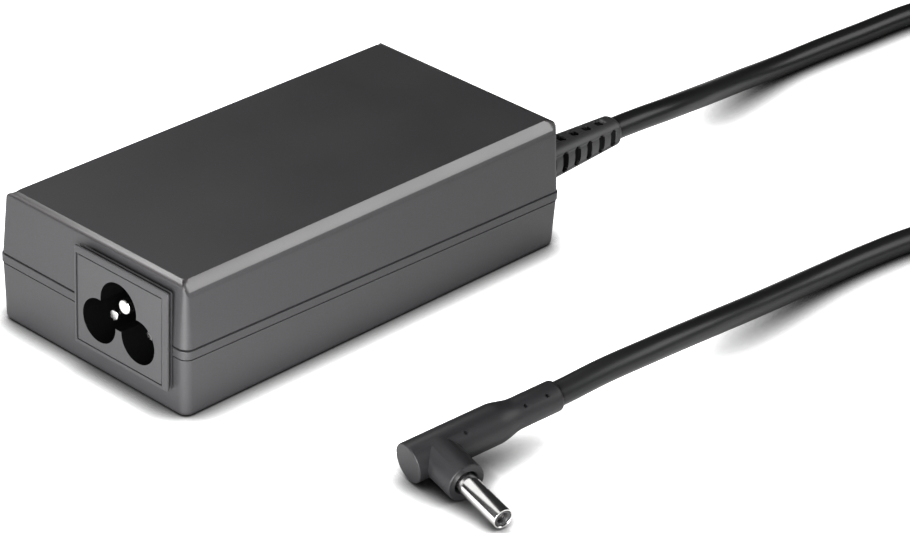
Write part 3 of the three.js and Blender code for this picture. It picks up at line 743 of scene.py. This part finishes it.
def cloverleaf_outline(steps=36):
    """Outline of three joined circles, anticlockwise: arcs between the points where the circles cross."""
    small, large = LOBE_RADIUS, EARTH_LOBE
    side, top = np.array([LOBE_HALF, 0.0]), np.array([0.0, EARTH_RISE])
    gap = side - top
    distance = np.hypot(*gap)
    along = (distance**2 + large**2 - small**2) / (2 * distance)
    across = math.sqrt(large**2 - along**2)
    unit = gap / distance
    normal = np.array([-unit[1], unit[0]])
    upper, lower = top + along * unit + across * normal, top + along * unit - across * normal

    def angle_of(point, centre):
        return math.atan2(point[1] - centre[1], point[0] - centre[0])

    right = circle_arc(side, small, angle_of(lower, side), angle_of(upper, side) + 2 * np.pi, 2 * steps)
    crown = circle_arc(top, large, angle_of(upper, top), np.pi - angle_of(upper, top), steps)
    left = right[::-1] * (-1, 1)
    base = circle_arc(top, large, -np.pi - angle_of(lower, top), angle_of(lower, top), 8)
    outline = np.vstack([right[:-1], crown[:-1], left[:-1], base[:-1]])
    return outline + (LOBE_Y, LOBE_Z)


def make_inlet_frame():
    """Flange with two grooves round its edge, a panel line on its face and a block behind it.

    Rings run from the middle of the block's back, along the block, out over the grooved edge, round to the
    face, down and up the panel line and in to the middle of the face.
    """
    face = FLANGE_FACE
    back = inlet_high[0]
    deep = 1.35
    edge = [(2.9, deep), (1.36, deep), (1.32, 0.12), (1.04, 0.12)]
    edge += [(1.0, deep), (0.46, deep), (0.42, 0.0), (0.12, 0.0)]
    edge += [(0.12 * (1 - math.sin(a)), 0.12 * (1 - math.cos(a))) for a in (0.5, 1.0, np.pi / 2)]
    block_low, block_high = (3.0, 1.65), (1.8, 1.65)  # wider than the three lobes on every side
    rings = [frame_ring(x, block_low, block_high, 1.0) for x in (back, face + 4.0)]
    rings += [frame_ring(face + 3.8, (deep, deep), (deep, deep), 0.3)]
    rings += [frame_ring(face + x, (i, i), (i, i), 0.3) for x, i in edge]
    line_low, line_high = np.array([1.5, 0.7]), np.array([0.4, 1.45])
    thin, thick = 0.2, 0.5
    rings += [
        frame_ring(face, line_low - 0.04, line_high - 0.04, 0.2),
        frame_ring(face + 0.06, line_low, line_high, 0.2),
        frame_ring(face + 0.7, line_low, line_high, 0.2),
        frame_ring(face + 0.7, line_low + thin, line_high + (thick, thin), 0.2),
        frame_ring(face + 0.1, line_low + thin, line_high + (thick, thin), 0.2),
        frame_ring(face + 0.04, line_low + thin + 0.06, line_high + (thick + 0.06, thin + 0.06), 0.2),
        frame_ring(face + 0.04, line_low + 0.8, line_high + 1.1, 0.2),
    ]
    rings = np.array(rings)[:, ::-1]
    return mesh_object("inlet_frame", *loft(rings), [inlet_plastic], sharp=28.0)


def make_well_cutter():
    """The three-lobed recess, from in front of the flange to its floor. Its walls take a near-black, barely
    reflective finish: black plastic, darkened further as painted shade.
    """
    outline = cloverleaf_outline()[::-1]
    ends = (FLANGE_FACE + WELL_DEPTH, FLANGE_FACE - 1.0)
    rings = [np.column_stack([np.full(len(outline), x), outline]) for x in ends]
    return mesh_object("well", *loft(rings), [well_black_with_painted_shade])


inlet_frame = combine(make_inlet_frame(), make_well_cutter(), "DIFFERENCE", sharp=28.0)
settle(inlet_frame, "inlet", "inlet_housing")


def make_pin(name, node):
    """A round pin with a flat nose and a rounded rim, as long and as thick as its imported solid."""
    low, high = box_mm(node)
    radius = (high[1] - low[1]) / 2
    nose = [(low[0], radius - 0.3), *quarter_round((low[0], radius - 0.25), (low[0] + 0.25, radius), 6)]
    pin = mesh_object(name, *loft(turned_rings([*nose, (high[0], radius)], sides=48)), [pin_nickel])
    pin.data.transform(Matrix.Translation(Vector((0, *((low + high) / 2)[1:])) * MM))
    return settle(pin, "pin", node)


make_pin("line_pin", "pin_line")
make_pin("neutral_pin", "pin_neutral")
make_pin("earth_pin", "pin_earth")

# ---------------------------------------------------------------- strain sleeve

SLOT_PITCH, SLOT_WIDTH, SLOT_DEPTH = 3.8, 1.6, 1.7
FIRST_SLOT = 3.9


def make_strain_sleeve():
    """Tapered rounded-square sleeve. Slots are sunk into its four faces, staggered by half a pitch; their
    deeper faces are painted near-black, a painted shade.

    The surface is half-size along the length times a rounded-square outline, pushed inwards where a slot's
    rounded box in length and height is under the face.
    """
    tip = np.linspace(0.2, np.pi / 2, 7)
    straight = np.linspace(0.0, RELIEF_LENGTH - 0.8, 200)
    along = np.concatenate([[-0.6], straight, RELIEF_LENGTH - 0.8 * (1 - np.sin(tip))])
    fall = 0.8 * (1 - np.cos(tip))
    half = RELIEF_BASE + (RELIEF_TIP - RELIEF_BASE) * np.clip(along, 0, None) / RELIEF_LENGTH
    half[-len(tip):] -= fall
    around = 160
    angle = np.linspace(0, 2 * np.pi, around, endpoint=False)
    power = 2.4
    unit_radius = (np.abs(np.cos(angle)) ** power + np.abs(np.sin(angle)) ** power) ** (-1 / power)
    radius = half[:, None] * unit_radius
    y, z = radius * np.cos(angle), radius * np.sin(angle)
    sink = np.zeros_like(radius)
    flank = np.abs(np.cos(angle)) > np.abs(np.sin(angle))
    for facing, offset, count, reach_share in ((flank, 0.0, 6, 0.56), (~flank, SLOT_PITCH / 2, 5, 0.34)):
        level = np.where(facing, np.abs(np.where(flank, z, y)), 99.0)
        for i in range(count):
            centre = FIRST_SLOT + offset + i * SLOT_PITCH
            reach = reach_share * (RELIEF_BASE + (RELIEF_TIP - RELIEF_BASE) * centre / RELIEF_LENGTH)
            off_x = np.abs(along - centre)[:, None]
            corner = np.hypot(np.maximum(level - (reach - SLOT_WIDTH / 2), 0), off_x) - SLOT_WIDTH / 2
            sink = np.maximum(sink, SLOT_DEPTH * (1 - soft_step(corner, 0.0, 0.22)))
        last = FIRST_SLOT + offset + (count - 1) * SLOT_PITCH
        strip = (1 - soft_step(level / half[:, None], reach_share - 0.05, 0.12)) * 0.25
        strip *= (soft_step(along, 2.0, 0.5) * (1 - soft_step(along, last + 1.4, 0.5)))[:, None]
        sink = np.maximum(sink, strip)
    floor = CORD_DIAMETER / 2 + 0.2
    normal_y = np.where(flank, np.sign(np.cos(angle)), 0.0)
    normal_z = np.where(flank, 0.0, np.sign(np.sin(angle)))
    reach_in = np.minimum(sink, np.maximum(half[:, None] - floor, 0))
    y, z = y - normal_y * reach_in, z - normal_z * reach_in
    rings = np.stack([np.broadcast_to(along[:, None], y.shape) + CORD_END, y + RELIEF_Y, z + RELIEF_Z], axis=-1)
    sleeve = mesh_object("strain_sleeve", *loft(rings), [relief_vinyl, slot_painted_shade], sharp=60.0)
    # painted shade: faces sunk deeper than half a slot's depth take the near-black second material
    slot_shade_faces = np.append((sink > 0.5 * SLOT_DEPTH)[:-1].ravel(), [False, False])  # the two end faces come last
    sleeve.data.polygons.foreach_set("material_index", slot_shade_faces.astype(np.int32))
    return sleeve


strain_sleeve = settle(make_strain_sleeve(), "relief", "strain_relief")

# ---------------------------------------------------------------- plug

PLUG_ALONG = np.array([0.968, -0.209, 0.139])
PLUG_ROLL = 6.9  # degrees that the barrel points down
GRIP_RADIUS, SLEEVE_RADIUS = 3.85, 3.0
GRIP_CAP, GRIP_END, TAPER_LENGTH, SLEEVE_END = 5.6, 12.4, 5.2, 26.4  # along the grip from the barrel's axis
LEG_LENGTH = 10.1
BARREL_RADIUS, BARREL_BORE, BARREL_TIP = 2.0, 1.7, 21.3
BARREL_START = LEG_LENGTH - 3.0  # the barrel is sunk into the leg


def plug_axes():
    """Along the grip, along the barrel, and up: right-angled, with the barrel dipping by the roll."""
    along = PLUG_ALONG / np.linalg.norm(PLUG_ALONG)
    level = np.cross(along, (0, 0, 1))
    level /= np.linalg.norm(level)
    lift = np.cross(level, along)
    roll = math.radians(PLUG_ROLL)
    barrel = level * math.cos(roll) - lift * math.sin(roll)
    return along, barrel, np.cross(along, -barrel)


GRIP_WAY, BARREL_WAY, PLUG_UP = plug_axes()
# Where the barrel's axis meets the grip's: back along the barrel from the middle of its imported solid.
PLUG_ROOT = sum(box_mm("plug_barrel")) / 2 - BARREL_WAY * (BARREL_START + BARREL_TIP) / 2


def place_plug_piece(piece, way, side):
    """Turns a piece drawn about +X so that X follows way and Y follows side, at the plug's root."""
    third = np.cross(way, side)
    turn = Matrix(np.column_stack([way, side, third]).tolist()).to_4x4()
    piece.data.transform(Matrix.Translation(Vector(PLUG_ROOT) * MM) @ turn)
    return piece


def make_plug_moulding():
    """Grip with a rounded closed end and a waisted sleeve, joined to a short leg for the barrel."""
    profile = quarter_round((-GRIP_CAP, GRIP_RADIUS - 0.28), (-GRIP_CAP + 0.28, GRIP_RADIUS), 6)
    profile = [(-GRIP_CAP, 0.4), (-GRIP_CAP, GRIP_RADIUS - 0.34), *profile]
    t = np.linspace(0, 1, 10)
    taper = GRIP_RADIUS + (SLEEVE_RADIUS - GRIP_RADIUS) * t * t * (3 - 2 * t)
    profile += list(zip(GRIP_END + TAPER_LENGTH * t, taper))
    profile += [(SLEEVE_END - 0.6, SLEEVE_RADIUS), (SLEEVE_END - 0.25, SLEEVE_RADIUS - 0.1)]
    profile += [(SLEEVE_END - 0.05, SLEEVE_RADIUS - 0.32), (SLEEVE_END, 2.45)]
    grip = mesh_object("plug_moulding", *loft(turned_rings(profile, 96)), [plug_vinyl])
    place_plug_piece(grip, GRIP_WAY, -BARREL_WAY)
    leg_radius = GRIP_RADIUS - 0.04
    recess, floor = 2.4, LEG_LENGTH - 2.4
    mouth = [(0.3 * math.sin(a), 0.3 * (1 - math.cos(a))) for a in np.linspace(0, np.pi / 2, 5)]
    leg_profile = [(0.0, 1.0), (0.0, leg_radius - 0.3), (0.3, leg_radius)]
    leg_profile += [(LEG_LENGTH - 0.3 + dx, leg_radius - dr) for dx, dr in mouth]
    leg_profile += [(LEG_LENGTH, recess + 0.1), (LEG_LENGTH - 0.12, recess)]
    leg_profile += [(floor, recess - 0.15), (floor, 2.1)]
    leg = mesh_object("leg", *loft(turned_rings(leg_profile, 88)), [plug_vinyl])
    place_plug_piece(leg, BARREL_WAY, GRIP_WAY)
    moulding = combine(grip, leg, "UNION", sharp=35.0)
    tilt = math.radians(56.5)  # of the dimples' line, from the barrel's side up
    outward = BARREL_WAY * math.cos(tilt) + PLUG_UP * math.sin(tilt)
    for along, radius in ((5.4, GRIP_RADIUS), (18.6, SLEEVE_RADIUS), (23.4, SLEEVE_RADIUS)):
        dimple = mesh_object("dimple", *loft(turned_rings([(radius - 0.7, 0.36), (radius + 1.0, 0.42)], 20)))
        place_plug_piece(dimple, outward, np.cross(outward, GRIP_WAY))
        dimple.data.transform(Matrix.Translation(Vector(GRIP_WAY * along) * MM))
        moulding = combine(moulding, dimple, "DIFFERENCE", sharp=35.0)
    return moulding


plug_moulding = settle(make_plug_moulding(), "plug", "plug_body")


def turned_about_barrel(name, profile, material, sides=64):
    piece = mesh_object(name, *loft(turned_rings(profile, sides)), [material])
    return place_plug_piece(piece, BARREL_WAY, GRIP_WAY)


barrel_profile = [
    (BARREL_START, BARREL_BORE + 0.02),
    (BARREL_START, BARREL_RADIUS),
    (BARREL_TIP - 0.1, BARREL_RADIUS),
    (BARREL_TIP - 0.03, BARREL_RADIUS - 0.03),
    (BARREL_TIP, BARREL_RADIUS - 0.12),
    (BARREL_TIP - 0.03, BARREL_BORE + 0.06),
    (BARREL_TIP - 0.12, BARREL_BORE),
    (BARREL_START + 0.2, BARREL_BORE),
]
barrel_sleeve = turned_about_barrel("barrel_sleeve", barrel_profile, barrel_nickel, 96)
settle(barrel_sleeve, "pin", "plug_barrel")
insulator_profile = [
    (BARREL_START, 1.05),
    (BARREL_START, BARREL_BORE - 0.05),
    (BARREL_TIP - 0.3, BARREL_BORE - 0.05),
    (BARREL_TIP - 0.2, BARREL_BORE - 0.12),
    (BARREL_TIP - 0.2, 1.18),
    (BARREL_TIP - 0.34, 1.05),
    (BARREL_START + 0.4, 1.05),
]
barrel_insulator = turned_about_barrel("barrel_insulator", insulator_profile, bore_plastic)
settle(barrel_insulator, "black_plastic", "plug_insulator")


def make_contact():
    """Spring tube with four slits at its mouth: rings whose radius dips between the leaves."""
    count, sides = 12, 64
    angle = np.linspace(0, 2 * np.pi, sides, endpoint=False)
    along = np.linspace(BARREL_TIP - 1.0, BARREL_START, count)
    spread = np.linspace(0.0, 1.0, count)[:, None]
    leaf = 0.93 - 0.1 * (1 - spread) - 0.12 * (1 - spread) * (np.abs(np.sin(2 * angle)) < 0.25)

    def rings_of(radius):
        place = np.broadcast_to(along[:, None], radius.shape)
        return np.stack([place, radius * np.cos(angle), radius * np.sin(angle)], axis=-1)

    points, faces = loft(np.concatenate([rings_of(leaf - 0.16), rings_of(leaf)[::-1]]))
    return place_plug_piece(mesh_object("barrel_contact", points, faces, [contact_steel]), BARREL_WAY, GRIP_WAY)


barrel_contact = settle(make_contact(), "steel", "plug_contact")

# ---------------------------------------------------------------- strap round the coil

TIE_WIDTH = 7.0


def make_strap():
    """A flat strap once round the bundle with its end lying over its start.

    A thin rounded section is carried round a rounded rectangle that steps out by the strap's thickness where
    the end overlaps. Its point is centre + outward * offset + height, plus the section's width across.
    """
    low, high = box_mm("cord_tie")
    centre = (low + high) / 2
    out, across, up = np.array([[1, 1, 0], [-1, 1, 0], [0, 0, math.sqrt(2)]]) / math.sqrt(2)
    outline = rounded_outline(10.05, 5.1, 2.6, per_corner=16)[0]
    closed = np.vstack([outline, outline[:1]])
    length = np.concatenate([[0], np.cumsum(np.hypot(*np.diff(closed, axis=0).T))])
    share = np.linspace(0, 1.2, 170)
    place = (share + 0.2) % 1.0 * length[-1]
    path = np.column_stack([np.interp(place, length, closed[:, i]) for i in (0, 1)])
    outward = path / np.linalg.norm(path, axis=1, keepdims=True)
    path += outward * (0.25 + 0.75 * soft_step(share, 0.96, 0.12))[:, None]
    section = rounded_outline(0.32, TIE_WIDTH / 2, 0.25, per_corner=3)[0]
    flat = path[:, None] + section[None, :, :1] * outward[:, None]
    rings = centre + flat[..., :1] * out + flat[..., 1:] * up + section[None, :, 1:] * across
    return mesh_object("coil_strap", *loft(rings), [strap_fabric])


coil_strap = settle(make_strap(), "tie", "cord_tie")

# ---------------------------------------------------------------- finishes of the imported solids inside

INSIDE = {
    "circuit_board": plastic(
        "board_mask", (0.02, 0.07, 0.03), per_metre=900.0, rough=(0.25, 0.4), bump=0.03, coat=0.4
    ),
    "insulation_sheet": plastic(
        "insulating_paper", (0.62, 0.57, 0.46), per_metre=1500.0, rough=(0.8, 0.9), bump=0.02
    ),
    "fuse": plastic("fuse_body", (0.03, 0.03, 0.032)),
    "inrush_thermistor": plastic("thermistor_epoxy", (0.05, 0.18, 0.08), rough=(0.25, 0.4), coat=0.5),
    "varistor": plastic("varistor_epoxy", (0.04, 0.12, 0.4), rough=(0.25, 0.4), coat=0.5),
    "y_capacitor": plastic("y_capacitor_epoxy", (0.05, 0.16, 0.42), rough=(0.25, 0.4), coat=0.5),
    "x_capacitor": plastic("x_capacitor_box", (0.7, 0.42, 0.04), rough=(0.3, 0.42)),
    "bridge_rectifier": plastic("rectifier_epoxy", (0.025, 0.025, 0.027)),
    "primary_transistor": plastic("transistor_epoxy", (0.026, 0.026, 0.028)),
    "output_rectifier": plastic("output_rectifier_epoxy", (0.024, 0.024, 0.026)),
    "optocoupler": plastic("optocoupler_epoxy", (0.5, 0.48, 0.43)),
    "control_ic": plastic("control_ic_epoxy", (0.022, 0.022, 0.024)),
    "bulk_capacitor": plastic("bulk_sleeve", (0.02, 0.03, 0.09), rough=(0.2, 0.3), coat=0.6),
    "output_capacitor_1": plastic("output_sleeve_1", (0.02, 0.035, 0.1), rough=(0.2, 0.3), coat=0.6),
    "output_capacitor_2": plastic("output_sleeve_2", (0.022, 0.036, 0.1), rough=(0.2, 0.3), coat=0.6),
    "choke_core": plastic(
        "choke_ferrite", (0.03, 0.03, 0.032), per_metre=2500.0, rough=(0.6, 0.8), bump=0.03
    ),
    "output_choke_core": plastic(
        "output_choke_ferrite", (0.035, 0.035, 0.036), per_metre=2500.0, rough=(0.6, 0.8)
    ),
    "transformer_core_lower": plastic(
        "lower_core_ferrite", (0.03, 0.03, 0.031), rough=(0.6, 0.8), bump=0.03
    ),
    "transformer_core_upper": plastic(
        "upper_core_ferrite", (0.031, 0.031, 0.032), rough=(0.6, 0.8), bump=0.03
    ),
    "transformer_bobbin": plastic("bobbin_phenolic", (0.02, 0.02, 0.021)),
    "bottom_heat_spreader": metal("bottom_spreader_sheet", (0.72, 0.73, 0.74), rough=(0.3, 0.45), bump=0.004),
    "top_heat_spreader": metal("top_spreader_sheet", (0.72, 0.73, 0.74), rough=(0.3, 0.45), bump=0.004),
    "primary_heatsink": metal("primary_sink_plate", (0.68, 0.69, 0.7), rough=(0.32, 0.45), bump=0.004),
    "secondary_heatsink": metal("secondary_sink_plate", (0.68, 0.69, 0.7), rough=(0.32, 0.45), bump=0.004),
    "wire_line": plastic("line_wire_vinyl", (0.14, 0.06, 0.03), rough=(0.3, 0.4)),
    "wire_neutral": plastic("neutral_wire_vinyl", (0.03, 0.09, 0.4), rough=(0.3, 0.4)),
    "wire_earth": plastic("earth_wire_vinyl", (0.07, 0.3, 0.06), rough=(0.3, 0.4)),
    "dc_wire_positive": plastic("positive_wire_vinyl", (0.45, 0.03, 0.02), rough=(0.3, 0.4)),
    "dc_wire_negative": plastic("negative_wire_vinyl", (0.02, 0.02, 0.021), rough=(0.3, 0.4)),
}
# the second colour of each pair goes into the valleys between strands, a painted shade
COPPER = ((0.75, 0.36, 0.18), (0.3, 0.12, 0.05))
TAPE = ((0.8, 0.56, 0.06), (0.55, 0.36, 0.03))
for wound, (bright, dark), strands in (
    ("choke_winding_line", COPPER, 1500.0),
    ("choke_winding_neutral", COPPER, 1500.0),
    ("output_choke_winding", COPPER, 1100.0),
    ("transformer_winding", TAPE, 160.0),
):
    INSIDE[wound] = finish_of(wound + "_finish", STRANDS, bright, dark, strands, (0.25, 0.45), 0.08, coat=0.4)
for node, material in INSIDE.items():
    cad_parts[node].material_slots[0].material = material

# ---------------------------------------------------------------- floor, light and surroundings

SUBJECT = Vector((0.02, -0.03, 0.012))


def make_floor():
    """A pale sheet lit from below, as a light table is, with a painted contact shadow: its colour and glow
    darken close to whatever stands on it.

    It is brighter to look at than what it shines on the subject.
    """
    size = 420.0
    ring = np.array([[-size, -size, 0], [size, -size, 0], [size, size, 0], [-size, size, 0]], float)
    floor = mesh_object("floor", ring, [[0, 1, 2, 3]])
    material = bpy.data.materials.new("light_table")
    material.use_nodes = True
    shader = material.node_tree.nodes["Principled BSDF"]
    shader.inputs["Base Color"].default_value = (0.86, 0.86, 0.86, 1.0)
    shader.inputs["Roughness"].default_value = 0.9
    shader.inputs["Specular IOR Level"].default_value = 0.0
    shader.inputs["Emission Color"].default_value = (1.0, 1.0, 1.0, 1.0)
    tree = material.node_tree
    # painted contact shadow: an occlusion reading darkens the floor's colour and glow near things on it
    open_sky = tree.nodes.new("ShaderNodeAmbientOcclusion")
    open_sky.samples = 12
    open_sky.inputs["Distance"].default_value = 0.007
    painted_contact_shadow = maths(tree, "POWER", open_sky.outputs["AO"], 3.5)
    path = tree.nodes.new("ShaderNodeLightPath")
    glow = maths(tree, "ADD", maths(tree, "MULTIPLY", path.outputs["Is Camera Ray"], 1.0), 0.4)
    connect(tree, maths(tree, "MULTIPLY", painted_contact_shadow, glow), shader.inputs["Emission Strength"])
    base = mixed_colour(tree, painted_contact_shadow, (0.0, 0.0, 0.0, 1.0), (0.86, 0.86, 0.86, 1.0))
    connect(tree, base, shader.inputs["Base Color"])
    floor.data.materials.append(material)


def softbox(name, way, distance, size, strength):
    """A rectangular light that faces the subject from a direction. Strength is its own brightness."""
    data = bpy.data.lights.new(name, "AREA")
    data.shape = "RECTANGLE"
    data.size, data.size_y = size
    data.energy = strength * size[0] * size[1] * math.pi
    lamp = bpy.data.objects.new(name, data)
    way = Vector(way).normalized()
    lamp.location = SUBJECT + way * distance
    lamp.rotation_mode = "QUATERNION"
    lamp.rotation_quaternion = way.to_track_quat("Z", "Y")
    lamp.visible_camera = False
    bpy.context.scene.collection.objects.link(lamp)


def make_surroundings():
    """Pale behind the subject, dim in what the subject reflects."""
    world = bpy.data.worlds.new("room")
    world.use_nodes = True
    bpy.context.scene.world = world
    tree = world.node_tree
    background = tree.nodes["Background"]
    path = tree.nodes.new("ShaderNodeLightPath")
    shade = tree.nodes.new("ShaderNodeMix")
    shade.data_type = "RGBA"
    shade.inputs[6].default_value = (0.02, 0.02, 0.021, 1.0)
    shade.inputs[7].default_value = (1.0, 1.0, 1.0, 1.0)
    tree.links.new(path.outputs["Is Camera Ray"], shade.inputs[0])
    tree.links.new(shade.outputs[2], background.inputs["Color"])


make_floor()
make_surroundings()
softbox("side_softbox", (0.646, -0.585, 0.5), 1.6, (1.17, 0.76), 4.4)
softbox("end_softbox", (0.211, 0.591, 0.78), 0.9, (0.2, 0.2), 9.0)
softbox("barrel_softbox", (-0.23, 0.56, 0.79), 0.88, (0.95, 0.8), 1.1)
softbox("near_fill", (-0.9, -0.39, 0.17), 0.3, (0.2, 0.2), 20.0)
bpy.context.scene.view_settings.view_transform = "Standard"
